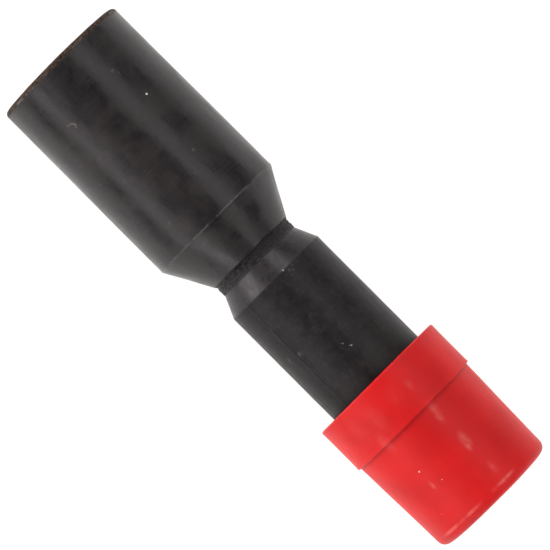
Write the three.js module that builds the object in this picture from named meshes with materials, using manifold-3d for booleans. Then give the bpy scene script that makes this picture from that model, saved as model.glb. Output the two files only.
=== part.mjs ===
// Coil-to-plug boot of an ignition coil, with the shipping cap on its plug end.
// Units are millimetres, +Z is up. The boot lies on its side: its axis runs along +X, from
// the coil end (-X) to the plug end (+X), at the height of its largest radius, so that the
// lowest line of the cap's collar is at z = 0. The origin is the bottom centre of the box.
import * as THREE from "three";
import { mergeVertices } from "three/addons/utils/BufferGeometryUtils.js";
import Module from "manifold-3d";

const wasm = await Module();
wasm.setup();

// ---------------------------------------------------------------- driving dimensions
// Stations s are distances along the axis from the coil's shoulder, which the boot's own
// face stops just short of. Radii are of the true circles; each outline is drawn as a
// polygon round that circle, with a flat underneath.
const FACE_S = 0.7; // coil-end face
const END_S = 103.6; // the cap's closed end, so the part is 102.9 long
const R_COLLAR = 12.9; // cap collar, the largest radius, and so the height of the axis
const FIT = 0.3; // gap left between pieces that touch

const COIL_R = 12.7; // coil boot, outside
const COIL_EDGE = 0.8; // rounding of its mouth edge
const COIL_CONE_S = 37.9; // where its cone starts
const COIL_END_S = 45.8; // where its cone ends, in a small step
const COIL_END_R = 8.45;
const SOCKET_R = 9.3; // bore that takes the coil's tower
const SOCKET_LIP_R = 10.0; // its lead-in at the face
const SOCKET_FLOOR_S = 22.0;
const SEAL_RIB_R = 8.8; // sealing ribs inside that bore
const SEAL_RIBS_S = [4.2, 7.4, 10.6];

const NECK_S = [COIL_END_S + FIT, 47.75]; // collar of the insulator tube, in the neck
const NECK_R = 8.2;

const PLUG_START_S = NECK_S[1] + FIT; // plug boot
const PLUG_START_R = 8.15;
const PLUG_FLARE_S = 51.85;
const PLUG_R = 9.85;
const PLUG_END_S = 101.5;
const PLUG_EDGE = 1.0;
const PLUG_BORE_R = 5.0; // bore that grips the plug's ceramic
const PLUG_LIP_R = 5.9; // its lead-in at the face
const GRIP_RIB_R = 4.7; // gripping ribs inside that bore
const GRIP_RIBS_S = [86.0, 91.0, 96.0];
const PLUG_BORE_S = 80.8; // where that bore starts

const TUBE_R = 6.4; // insulator tube, outside
const TUBE_S = [20.5, 80.5];
const TUBE_BORE_R = 3.25;
const TUBE_POCKET_R = 5.1; // wider pocket at its plug end, for the terminal
const TUBE_POCKET_S = 66.1;
const TUBE_BARB_R = 7.1; // retaining barbs, one in each boot
const TUBE_BARBS_S = [32.0, 60.0];
const BARB_LENGTH = 3.0;

const CAP_S = 75.5; // mouth of the shipping cap
const CAP_STEP_S = 84.3; // where its collar ends
const CAP_R = [12.42, 11.92]; // its tapered body
const CAP_CORNER = 1.5; // rounding of its closed end
const CAP_INSIDE_R = [11.3, 10.75, 10.2]; // inside, at the mouth, below the collar, at the floor
const CAP_FLOOR_S = 101.9;
const CAP_RIB_R = 10.1; // its grip ribs reach in to this radius
const CAP_RIBS = 6;

// ---------------------------------------------------------------- helpers
const X0 = -(FACE_S + END_S) / 2;
const AXIS_Z = R_COLLAR;

function tidy(geometry) {
  const g = geometry.index ? geometry.clone() : mergeVertices(geometry, 1e-5);
  g.deleteAttribute("normal");
  g.deleteAttribute("uv");
  const m = mergeVertices(g, 1e-5);
  const p = m.attributes.position;
  const out = [];
  let volume = 0;
  const a = new THREE.Vector3(), b = new THREE.Vector3(), c = new THREE.Vector3();
  for (let i = 0; i < m.index.count; i += 3) {
    const [u, v, w] = [0, 1, 2].map((k) => m.index.getX(i + k));
    if (u === v || v === w || w === u) continue;
    a.fromBufferAttribute(p, u); b.fromBufferAttribute(p, v); c.fromBufferAttribute(p, w);
    volume += a.dot(b.clone().cross(c)) / 6;
    out.push(u, v, w);
  }
  if (volume < 0) for (let i = 0; i < out.length; i += 3) [out[i + 1], out[i + 2]] = [out[i + 2], out[i + 1]];
  m.setIndex(out);
  return m;
}

// Revolves a profile of [s, r] pairs round the axis. A profile that doesn't end on the axis
// at both ends closes on itself. n is the number of flats, one of which faces down.
function revolve(profile, n = 36) {
  const k = 1 / Math.cos(Math.PI / n);
  const onAxis = profile[0][1] === 0 && profile[profile.length - 1][1] === 0;
  const pts = profile.map(([s, r]) => new THREE.Vector2(r * k, s));
  if (!onAxis) pts.push(pts[0].clone());
  const g = new THREE.LatheGeometry(pts, n, Math.PI / n, 2 * Math.PI);
  g.rotateZ(-Math.PI / 2);
  return tidy(g);
}

function solid(geometry) {
  const m = tidy(geometry);
  return new wasm.Manifold(new wasm.Mesh({
    numProp: 3,
    vertProperties: new Float32Array(m.attributes.position.array),
    triVerts: new Uint32Array(m.index.array),
  }));
}

function geometryOf(manifold) {
  const mesh = manifold.getMesh();
  const g = new THREE.BufferGeometry();
  g.setAttribute("position", new THREE.BufferAttribute(new Float32Array(mesh.vertProperties), 3));
  g.setIndex(new THREE.BufferAttribute(new Uint32Array(mesh.triVerts), 1));
  return g;
}

// A box between two stations, from radius r0 to r1 outwards along +Z, turned by an angle.
function finBox(s0, s1, r0, r1, width, angle) {
  const g = new THREE.BoxGeometry(s1 - s0, width, r1 - r0);
  g.translate((s0 + s1) / 2, 0, (r0 + r1) / 2);
  g.rotateX(angle);
  return g;
}

// Points of a rounded corner, from angle a0 to a1 (degrees) about (s, r).
function corner(s, r, radius, a0, a1, steps) {
  const out = [];
  for (let i = 0; i <= steps; i++) {
    const a = THREE.MathUtils.degToRad(a0 + ((a1 - a0) * i) / steps);
    out.push([s + radius * Math.cos(a), r + radius * Math.sin(a)]);
  }
  return out;
}

const group = new THREE.Group();
group.position.set(X0, 0, AXIS_Z);

function add(name, geometry, color, roughness, metalness) {
  const mesh = new THREE.Mesh(geometry, new THREE.MeshStandardMaterial({ color, roughness, metalness }));
  mesh.name = name;
  group.add(mesh);
}

const RUBBER = [0x2e2c2d, 0.55, 0.0];
const RUBBER_DULL = [0x2b292a, 0.7, 0.0];
const RESIN = [0x3a3637, 0.6, 0.0];
const RED = [0xd8302c, 0.4, 0.0];
const SEAL = [0x9a4a36, 0.6, 0.0];
const BRASS = [0xc2a052, 0.3, 1.0];
const NICKEL = [0xb9b6ae, 0.28, 1.0];
const STEEL = [0xa9abad, 0.3, 1.0];
const CERAMIC = [0xe6e1d3, 0.5, 0.0];
const WINDING = [0x6e5a4a, 0.5, 0.6];

// ---------------------------------------------------------------- coil boot
{
  const p = [[FACE_S, SOCKET_LIP_R], ...corner(FACE_S + COIL_EDGE, COIL_R - COIL_EDGE, COIL_EDGE, 180, 90, 3)];
  p.push([COIL_CONE_S, COIL_R], [COIL_END_S, COIL_END_R]);
  // its bore round the insulator tube, with the pocket for the barb
  p.push([COIL_END_S, TUBE_R + FIT]);
  p.push([TUBE_BARBS_S[0] + BARB_LENGTH + FIT, TUBE_R + FIT], [TUBE_BARBS_S[0] + BARB_LENGTH + FIT, TUBE_BARB_R + FIT]);
  p.push([TUBE_BARBS_S[0] - FIT, TUBE_R + FIT]);
  p.push([SOCKET_FLOOR_S, TUBE_R + FIT], [SOCKET_FLOOR_S, SOCKET_R]);
  for (const s of [...SEAL_RIBS_S].reverse()) p.push([s + 0.8, SOCKET_R], [s, SEAL_RIB_R], [s - 0.8, SOCKET_R]);
  p.push([FACE_S + 1.2, SOCKET_R]);
  add("coil_boot", revolve(p), ...RUBBER);
}

// ---------------------------------------------------------------- insulator tube
{
  const p = [[TUBE_S[0], TUBE_BORE_R], [TUBE_S[0], TUBE_R - 0.4], [TUBE_S[0] + 0.4, TUBE_R]];
  p.push([TUBE_BARBS_S[0], TUBE_R], [TUBE_BARBS_S[0] + BARB_LENGTH, TUBE_BARB_R], [TUBE_BARBS_S[0] + BARB_LENGTH, TUBE_R]);
  p.push([NECK_S[0], TUBE_R], [NECK_S[0], NECK_R], [NECK_S[1], NECK_R], [NECK_S[1], TUBE_R]);
  p.push([TUBE_BARBS_S[1], TUBE_R], [TUBE_BARBS_S[1], TUBE_BARB_R], [TUBE_BARBS_S[1] + BARB_LENGTH, TUBE_R]);
  p.push([TUBE_S[1] - 0.4, TUBE_R], [TUBE_S[1], TUBE_R - 0.4], [TUBE_S[1], TUBE_POCKET_R]);
  p.push([TUBE_POCKET_S, TUBE_POCKET_R], [TUBE_POCKET_S, TUBE_BORE_R]);
  add("insulator_tube", revolve(p), ...RESIN);
}

// ---------------------------------------------------------------- plug boot
{
  const p = [[PLUG_START_S, TUBE_R + FIT], [PLUG_START_S, PLUG_START_R], [PLUG_FLARE_S, PLUG_R]];
  p.push(...corner(PLUG_END_S - PLUG_EDGE, PLUG_R - PLUG_EDGE, PLUG_EDGE, 90, 0, 3));
  p.push([PLUG_END_S, PLUG_LIP_R], [PLUG_END_S - 1.4, PLUG_BORE_R]);
  for (const s of [...GRIP_RIBS_S].reverse()) p.push([s + 0.8, PLUG_BORE_R], [s, GRIP_RIB_R], [s - 0.8, PLUG_BORE_R]);
  p.push([PLUG_BORE_S, PLUG_BORE_R], [PLUG_BORE_S, TUBE_R + FIT]);
  p.push([TUBE_BARBS_S[1] + BARB_LENGTH + FIT, TUBE_R + FIT], [TUBE_BARBS_S[1] - FIT, TUBE_BARB_R + FIT]);
  p.push([TUBE_BARBS_S[1] - FIT, TUBE_R + FIT]);
  add("plug_boot", revolve(p), ...RUBBER_DULL);
}

// ---------------------------------------------------------------- shipping cap
{
  const p = [[CAP_S, CAP_INSIDE_R[0]], [CAP_S, R_COLLAR - 0.2], [CAP_S + 0.2, R_COLLAR]];
  p.push([CAP_STEP_S, R_COLLAR], [CAP_STEP_S, CAP_R[0]]);
  p.push(...corner(END_S - CAP_CORNER, CAP_R[1] - CAP_CORNER, CAP_CORNER, 88, 0, 4));
  p.push([END_S, 0], [CAP_FLOOR_S, 0], [CAP_FLOOR_S, CAP_INSIDE_R[2]], [CAP_STEP_S, CAP_INSIDE_R[1]]);
  // the profile touches the axis only along the closed end, so it is turned to start there
  const start = p.findIndex(([s, r]) => r === 0 && s === CAP_FLOOR_S);
  const turned = [...p.slice(start), ...p.slice(0, start)];
  let cap = solid(revolve(turned));
  const probe = (s) => s; // ribs run along the tapered inside, from below the collar to the floor
  for (let i = 0; i < CAP_RIBS; i++) {
    const rib = finBox(probe(CAP_STEP_S + 1.5), CAP_FLOOR_S + 0.3, CAP_RIB_R, CAP_INSIDE_R[1] + 0.5, 0.9, ((i + 0.5) * 2 * Math.PI) / CAP_RIBS);
    cap = cap.add(solid(rib));
  }
  add("protective_cap", geometryOf(cap), ...RED);
}

// ---------------------------------------------------------------- seal and contact, coil end
const SEAL_S = [19.9, SOCKET_FLOOR_S - FIT];
add("tower_seal", revolve([[SEAL_S[0], 7.2], ...corner(SEAL_S[0] + 0.5, 8.5, 0.5, 180, 90, 2), [SEAL_S[1], 9.0], [SEAL_S[1], 6.7], [SEAL_S[0] + 0.4, 6.7]]), ...SEAL);

const GUIDE_S = [19.0, 26.0];
const GUIDE_BORE_R = 1.95;
add("plunger_guide", revolve([
  [GUIDE_S[0], GUIDE_BORE_R + 0.4], [GUIDE_S[0], 4.7], [GUIDE_S[0] + 0.4, 5.1], [20.2, 5.1], [20.2, 2.95],
  [GUIDE_S[1], 2.95], [GUIDE_S[1], GUIDE_BORE_R], [GUIDE_S[0] + 0.4, GUIDE_BORE_R],
], 24), ...NICKEL);

const PLUNGER_TRAVEL = 4.0;
const PLUNGER_R = 1.65;
const PLUNGER_COLLAR_S = [GUIDE_S[1] + FIT, GUIDE_S[1] + FIT + 2.0];
add("contact_plunger", revolve([
  [14.5, 0], [14.62, 0.7], [15.0, 1.25], [15.7, PLUNGER_R], [PLUNGER_COLLAR_S[0], PLUNGER_R], [PLUNGER_COLLAR_S[0], 2.8],
  [PLUNGER_COLLAR_S[1], 2.8], [PLUNGER_COLLAR_S[1], 1.2], [33.5, 1.2], [34.0, 0.8], [34.0, 0],
], 24), ...BRASS);

// Compression spring: round wire swept along a helix, closed off flat at both ends.
const SPRING_S = [PLUNGER_COLLAR_S[1] + 0.3, 45.0];
const SPRING_MEAN_R = 2.3;
const SPRING_WIRE_R = 0.35;
const SPRING_TURNS = 8;
{
  class Helix extends THREE.Curve {
    getPoint(t, target = new THREE.Vector3()) {
      const a = t * SPRING_TURNS * 2 * Math.PI;
      const lead = SPRING_WIRE_R;
      const span = SPRING_S[1] - SPRING_S[0] - 2 * lead;
      // the end turns lie closer together than the working turns
      const e = 1 / SPRING_TURNS;
      const dead = 0.05;
      let u;
      if (t < e) u = (dead * t) / e;
      else if (t > 1 - e) u = 1 - (dead * (1 - t)) / e;
      else u = dead + ((1 - 2 * dead) * (t - e)) / (1 - 2 * e);
      return target.set(SPRING_S[0] + lead + u * span, SPRING_MEAN_R * Math.cos(a), SPRING_MEAN_R * Math.sin(a));
    }
  }
  const wire = new THREE.Shape();
  for (let i = 0; i < 8; i++) {
    const a = (i / 8) * 2 * Math.PI + Math.PI / 8;
    const x = SPRING_WIRE_R * Math.cos(a), y = SPRING_WIRE_R * Math.sin(a);
    if (i === 0) wire.moveTo(x, y); else wire.lineTo(x, y);
  }
  wire.closePath();
  const g = new THREE.ExtrudeGeometry(wire, { steps: SPRING_TURNS * 14, extrudePath: new Helix(), bevelEnabled: false, curveSegments: 1 });
  add("contact_spring", tidy(g), ...STEEL);
}

add("spring_seat", revolve([[43.0, 0], [43.0, 1.0], [43.5, 1.4], [SPRING_S[1] + FIT, 1.4], [SPRING_S[1] + FIT, 2.9], [46.6, 2.9], [46.6, 0]], 24), ...BRASS);

// ---------------------------------------------------------------- suppression resistor
const RES_S = [46.9, 65.1];
const RES_R = 2.0;
function endCap(face, direction) {
  const at = (d) => face + direction * d;
  return revolve([[at(0), 0], [at(0), 2.5], [at(0.4), 2.9], [at(2.6), 2.9], [at(2.6), RES_R + FIT], [at(0.5), RES_R + FIT], [at(0.5), 0]], 24);
}
add("resistor_cap_coil_side", endCap(RES_S[0], 1), ...NICKEL);
add("resistor_core", revolve([[RES_S[0] + 0.8, 0], [RES_S[0] + 0.8, RES_R], [RES_S[1] - 0.8, RES_R], [RES_S[1] - 0.8, 0]], 24), ...CERAMIC);
{
  const p = [];
  const s0 = RES_S[0] + 2.9, s1 = RES_S[1] - 2.9, turns = 12;
  for (let i = 0; i < turns; i++) {
    const a = s0 + ((s1 - s0) * i) / turns, b = s0 + ((s1 - s0) * (i + 1)) / turns;
    p.push([a, 2.55], [(a + b) / 2, 2.75]);
  }
  p.push([s1, 2.55], [s1, RES_R + FIT], [s0, RES_R + FIT]);
  add("resistor_winding", revolve(p, 24), ...WINDING);
}
add("resistor_cap_plug_side", endCap(RES_S[1], -1), ...NICKEL);

// ---------------------------------------------------------------- terminal, plug end
add("terminal_disc", revolve([[65.4, 0], [65.4, 2.7], [66.4, 2.7], [66.4, 4.6], [67.0, 4.6], [67.0, 0]], 24), ...BRASS);

const TERM_S = [67.3, 78.6];
const TERM_R = 4.2;
const TERM_BORE_R = 3.3;
const TERM_GROOVE_S = [73.6, 75.4];
{
  let terminal = solid(revolve([
    [TERM_S[0], 0], [TERM_S[0], 4.7], [TERM_S[0] + 1.2, 4.7], [TERM_S[0] + 1.2, TERM_R],
    [TERM_GROOVE_S[0], TERM_R], [TERM_GROOVE_S[0], 3.75], [TERM_GROOVE_S[1], 3.75], [TERM_GROOVE_S[1], TERM_R],
    [TERM_S[1], TERM_R], [TERM_S[1], TERM_BORE_R + 0.4], [TERM_S[1] - 0.8, TERM_BORE_R], [69.2, TERM_BORE_R], [69.2, 0],
  ], 24));
  for (const angle of [Math.PI / 4, (3 * Math.PI) / 4]) {
    const slot = new THREE.BoxGeometry(9, 0.8, 12);
    slot.translate(70.9 + 4.5, 0, 0);
    slot.rotateX(angle);
    terminal = terminal.subtract(solid(slot));
  }
  add("plug_terminal", geometryOf(terminal), ...BRASS);
}
{
  // C-ring of spring wire round the socket, open over a quarter turn at the top
  const R = 4.42, w = 0.33, open = Math.PI / 2;
  class Arc extends THREE.Curve {
    getPoint(t, target = new THREE.Vector3()) {
      const a = open / 2 + t * (2 * Math.PI - open);
      return target.set((TERM_GROOVE_S[0] + TERM_GROOVE_S[1]) / 2, R * Math.sin(a), R * Math.cos(a));
    }
  }
  const wire = new THREE.Shape();
  for (let i = 0; i < 8; i++) {
    const a = (i / 8) * 2 * Math.PI + Math.PI / 8;
    if (i === 0) wire.moveTo(w * Math.cos(a), w * Math.sin(a)); else wire.lineTo(w * Math.cos(a), w * Math.sin(a));
  }
  wire.closePath();
  add("terminal_clip", tidy(new THREE.ExtrudeGeometry(wire, { steps: 28, extrudePath: new Arc(), bevelEnabled: false, curveSegments: 1 })), ...STEEL);
}
add("terminal_retainer", revolve([[78.9, 3.9], [78.9, 4.8], [80.1, 4.8], [80.1, 4.1], [79.9, 3.9]], 24), ...NICKEL);

export default group;
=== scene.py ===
import math

import bmesh
import bpy
import numpy as np
from mathutils import Matrix, Vector, noise


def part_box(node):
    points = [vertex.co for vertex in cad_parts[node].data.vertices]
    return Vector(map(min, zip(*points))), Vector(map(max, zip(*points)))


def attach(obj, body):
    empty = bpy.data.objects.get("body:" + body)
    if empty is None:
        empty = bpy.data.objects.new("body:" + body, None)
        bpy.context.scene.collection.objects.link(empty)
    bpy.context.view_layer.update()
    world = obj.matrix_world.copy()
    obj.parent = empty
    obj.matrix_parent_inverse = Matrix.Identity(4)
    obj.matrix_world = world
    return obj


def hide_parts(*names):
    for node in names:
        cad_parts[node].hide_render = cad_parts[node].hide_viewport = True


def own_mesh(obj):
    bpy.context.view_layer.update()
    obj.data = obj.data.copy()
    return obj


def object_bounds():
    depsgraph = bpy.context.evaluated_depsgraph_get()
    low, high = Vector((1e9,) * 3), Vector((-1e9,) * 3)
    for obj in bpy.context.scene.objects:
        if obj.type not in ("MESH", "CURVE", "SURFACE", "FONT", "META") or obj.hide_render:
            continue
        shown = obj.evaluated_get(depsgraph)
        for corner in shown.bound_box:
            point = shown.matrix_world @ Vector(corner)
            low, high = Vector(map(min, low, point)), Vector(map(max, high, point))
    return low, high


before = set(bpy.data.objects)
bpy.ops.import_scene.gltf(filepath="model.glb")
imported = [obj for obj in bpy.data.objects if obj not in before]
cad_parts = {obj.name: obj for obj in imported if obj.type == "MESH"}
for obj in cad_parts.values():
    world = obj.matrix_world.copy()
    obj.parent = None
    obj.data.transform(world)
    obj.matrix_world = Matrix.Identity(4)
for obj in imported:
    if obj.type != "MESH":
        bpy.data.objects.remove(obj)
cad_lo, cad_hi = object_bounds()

MM = 0.001
TAU = 2 * math.pi

# ------------------------------------------------------------------ places, from the CAD
COIL_LO, COIL_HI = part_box("coil_boot")
PLUG_LO, PLUG_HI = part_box("plug_boot")
TUBE_LO, TUBE_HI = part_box("insulator_tube")
CAP_LO, CAP_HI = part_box("protective_cap")
FACE = 0.7                                  # station of the coil-end face
X0 = COIL_LO.x - FACE * MM                  # stations start at the coil's shoulder, just in front of it
YC = (CAP_LO.y + CAP_HI.y) / 2
ZC = (CAP_LO.z + CAP_HI.z) / 2              # height of the axis


def st(x):
    """Station of a frame x, in mm."""
    return (x - X0) / MM


def halfwidth(lo, hi):
    return (hi.y - lo.y) / 2 / MM


COIL_END, COIL_R = st(COIL_HI.x), halfwidth(COIL_LO, COIL_HI)
PLUG_START, PLUG_END, PLUG_R = st(PLUG_LO.x), st(PLUG_HI.x), halfwidth(PLUG_LO, PLUG_HI)
TUBE_START, TUBE_END, NECK_R = st(TUBE_LO.x), st(TUBE_HI.x), halfwidth(TUBE_LO, TUBE_HI)
CAP_START, CAP_END, CAP_R = st(CAP_LO.x), st(CAP_HI.x), halfwidth(CAP_LO, CAP_HI)
CONE_S = COIL_END - 7.9                     # where the coil boot's cone starts
FLARE_S = PLUG_START + 3.8                  # where the plug boot's flare ends
CAP_STEP = CAP_START + 8.8                  # the lower edge of the cap's collar

# ------------------------------------------------------------------ camera, at the photograph's viewing angle
# The object lies flat and is seen straight from above, its coil end at the picture's upper left.
ROLL = math.radians(45.03)
right = Vector((math.cos(ROLL), math.sin(ROLL), 0))
up = Vector((-math.sin(ROLL), math.cos(ROLL), 0))
MIDDLE = Vector(((cad_lo.x + cad_hi.x) / 2, YC, ZC))
PX = MM / 6.0                               # one pixel of the 550 pixel frame, at the axis
DISTANCE = 0.9
cam_data = bpy.data.cameras.new("camera")
cam_data.sensor_width = 36.0
cam_data.lens = 36.0 * DISTANCE / (550 * PX)
cam_data.clip_start, cam_data.clip_end = 0.05, 60.0
cam = bpy.data.objects.new("camera", cam_data)
bpy.context.scene.collection.objects.link(cam)
cam.location = MIDDLE + Vector((0, 0, DISTANCE)) - right * (1.75 * PX) + up * (3.75 * PX) - Vector((0.6 * PX, 0, 0))
cam.rotation_euler = Matrix((right, up, Vector((0, 0, 1)))).transposed().to_euler()
bpy.context.scene.camera = cam


# ------------------------------------------------------------------ mesh helpers
def fillet(corners, closed):
    """Rounds a polyline of (s, r, radius) corners. Returns (s, r) points."""
    out = []
    n = len(corners)
    for i, (s, r, *f) in enumerate(corners):
        f = f[0] if f else 0.0
        if f <= 0 or (not closed and i in (0, n - 1)):
            out.append((s, r))
            continue
        p = np.array((s, r), float)
        a = np.array(corners[(i - 1) % n][:2], float) - p
        b = np.array(corners[(i + 1) % n][:2], float) - p
        la, lb = np.linalg.norm(a), np.linalg.norm(b)
        a, b = a / la, b / lb
        cosang = max(-1.0, min(1.0, float(a @ b)))
        ang = math.acos(cosang)
        if ang > math.pi - 1e-3:
            out.append((s, r))
            continue
        t = min(f / math.tan(ang / 2), 0.49 * la, 0.49 * lb)
        rad = t * math.tan(ang / 2)
        centre = p + (a + b) / np.linalg.norm(a + b) * (rad / math.sin(ang / 2))
        p0, p1 = p + a * t, p + b * t
        v0, v1 = p0 - centre, p1 - centre
        sweep = math.pi - ang
        steps = max(3, int(math.ceil(math.degrees(sweep) / 11)))
        cross = v0[0] * v1[1] - v0[1] * v1[0]
        sign = 1 if cross > 0 else -1
        for k in range(steps + 1):
            th = sign * sweep * k / steps
            c, q = math.cos(th), math.sin(th)
            w = centre + np.array((v0[0] * c - v0[1] * q, v0[0] * q + v0[1] * c))
            out.append((float(w[0]), float(w[1])))
    return out


def densify(points, step, closed):
    """Adds points so that no stretch is longer than step (a number, or a function of s and r)."""
    out = []
    n = len(points)
    for i in range(n if closed else n - 1):
        (s0, r0), (s1, r1) = points[i], points[(i + 1) % n]
        most = step((s0 + s1) / 2, (r0 + r1) / 2) if callable(step) else step
        k = max(1, int(math.ceil(math.hypot(s1 - s0, r1 - r0) / most)))
        for j in range(k):
            out.append((s0 + (s1 - s0) * j / k, r0 + (r1 - r0) * j / k))
    if not closed:
        out.append(points[-1])
    return out


def make_object(name, verts, faces, smooth=True):
    me = bpy.data.meshes.new(name)
    me.from_pydata([tuple(v) for v in verts], [], [tuple(f) for f in faces])
    bm = bmesh.new()
    bm.from_mesh(me)
    bmesh.ops.remove_doubles(bm, verts=bm.verts, dist=1e-8)
    bmesh.ops.recalc_face_normals(bm, faces=bm.faces)
    if bm.calc_volume(signed=True) < 0:
        bmesh.ops.reverse_faces(bm, faces=bm.faces)
    for e in bm.edges:
        if len(e.link_faces) == 2 and e.calc_face_angle(0) > math.radians(34):
            e.smooth = False
    for f in bm.faces:
        f.smooth = smooth
    bm.to_mesh(me)
    bm.free()
    me.update()
    o = bpy.data.objects.new(name, me)
    bpy.context.scene.collection.objects.link(o)
    return o


def lathe(name, corners, closed=True, seg=192, step=0.6, extra=(), bump=None, shift=None):
    """Turns a profile round the axis. extra are further angles, for ridges. bump(s, a, r) is a displacement
    in mm along the outward normal, shift(s, a, r) one along the axis. An open profile starts and ends on the axis."""
    pts = densify(fillet(corners, closed), step, closed)
    n = len(pts)
    area = sum(pts[i][0] * pts[(i + 1) % n][1] - pts[(i + 1) % n][0] * pts[i][1] for i in range(n))
    sign = 1 if area < 0 else -1
    normals = []
    for i in range(n):
        p, q = pts[(i - 1) % n] if (closed or i) else pts[0], pts[(i + 1) % n] if (closed or i < n - 1) else pts[-1]
        d = np.array((q[0] - p[0], q[1] - p[1]))
        d = d / (np.linalg.norm(d) or 1)
        normals.append((-d[1] * sign, d[0] * sign))
    angles = sorted(set([round(TAU * k / seg, 6) for k in range(seg)] + [round(a % TAU, 6) for a in extra]))
    m = len(angles)
    verts, rows = [], []
    for i, (s, r) in enumerate(pts):
        row = []
        if r <= 1e-9:
            d = bump(s, 0.0, 0.0) if bump else 0.0
            verts.append((X0 + (s + normals[i][0] * d) * MM, YC, ZC))
            row = [len(verts) - 1] * m
        else:
            for a in angles:
                d = bump(s, a, r) if bump else 0.0
                rr, ss = r + normals[i][1] * d, s + normals[i][0] * d
                if shift:
                    ss += shift(s, a, r)
                verts.append((X0 + ss * MM, YC + rr * math.cos(a) * MM, ZC + rr * math.sin(a) * MM))
                row.append(len(verts) - 1)
        rows.append(row)
    faces = []
    for i in range(n if closed else n - 1):
        a, b = rows[i], rows[(i + 1) % n]
        for k in range(m):
            k2 = (k + 1) % m
            f = []
            for v in (a[k], b[k], b[k2], a[k2]):
                if v not in f:
                    f.append(v)
            if len(f) > 2:
                faces.append(f)
    return make_object(name, verts, faces)


def sweep(name, path, radius, sides=16, round_ends=True):
    """A round wire along a list of points (metres), with domed or flat ends."""
    path = [Vector(p) for p in path]
    rings = []
    tangents = []
    for i in range(len(path)):
        a, b = path[max(0, i - 1)], path[min(len(path) - 1, i + 1)]
        tangents.append((b - a).normalized())
    n = tangents[0].orthogonal().normalized()
    frames = []
    for t in tangents:
        n = (n - t * n.dot(t)).normalized()
        frames.append((t, n.copy(), t.cross(n)))
    verts, rings = [], []

    def ring(c, fr, rad):
        t, u, v = fr
        ids = []
        for k in range(sides):
            a = TAU * k / sides
            verts.append(c + (u * math.cos(a) + v * math.sin(a)) * rad)
            ids.append(len(verts) - 1)
        rings.append(ids)

    dome = [(0.0, 1.0)] if not round_ends else [(math.cos(x), math.sin(x)) for x in (0.35, 0.75, 1.15)]
    if round_ends:
        for c, q in dome:
            ring(path[0] - tangents[0] * radius * c, frames[0], radius * q)
    for i, p in enumerate(path):
        ring(p, frames[i], radius)
    if round_ends:
        for c, q in reversed(dome):
            ring(path[-1] + tangents[-1] * radius * c, frames[-1], radius * q)
    faces = []
    for a, b in zip(rings, rings[1:]):
        for k in range(sides):
            faces.append((a[k], a[(k + 1) % sides], b[(k + 1) % sides], b[k]))
    faces.append(tuple(rings[0]))
    faces.append(tuple(reversed(rings[-1])))
    return make_object(name, verts, faces)


def fractal(x, y, z, octaves=3, seed=0.0):
    """Smooth noise of about -1 to 1, the same at each run."""
    v, amp, total = 0.0, 1.0, 0.0
    p = Vector((x + seed, y - seed * 0.7, z + seed * 1.3))
    for _ in range(octaves):
        v += amp * noise.noise(p)
        total += amp
        amp *= 0.5
        p = p * 2.03
    return v / total


def ridge(d, half):
    """1 at d = 0, falling smoothly to 0 at half."""
    t = max(0.0, 1 - abs(d) / half)
    return t * t * (3 - 2 * t)


def smooth(v, lo, hi):
    """0 below lo, 1 above hi, smooth between."""
    t = min(1.0, max(0.0, (v - lo) / (hi - lo)))
    return t * t * (3 - 2 * t)


def away(a, b):
    """Signed angle from b to a, in -pi..pi."""
    return (a - b + math.pi) % TAU - math.pi


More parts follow.
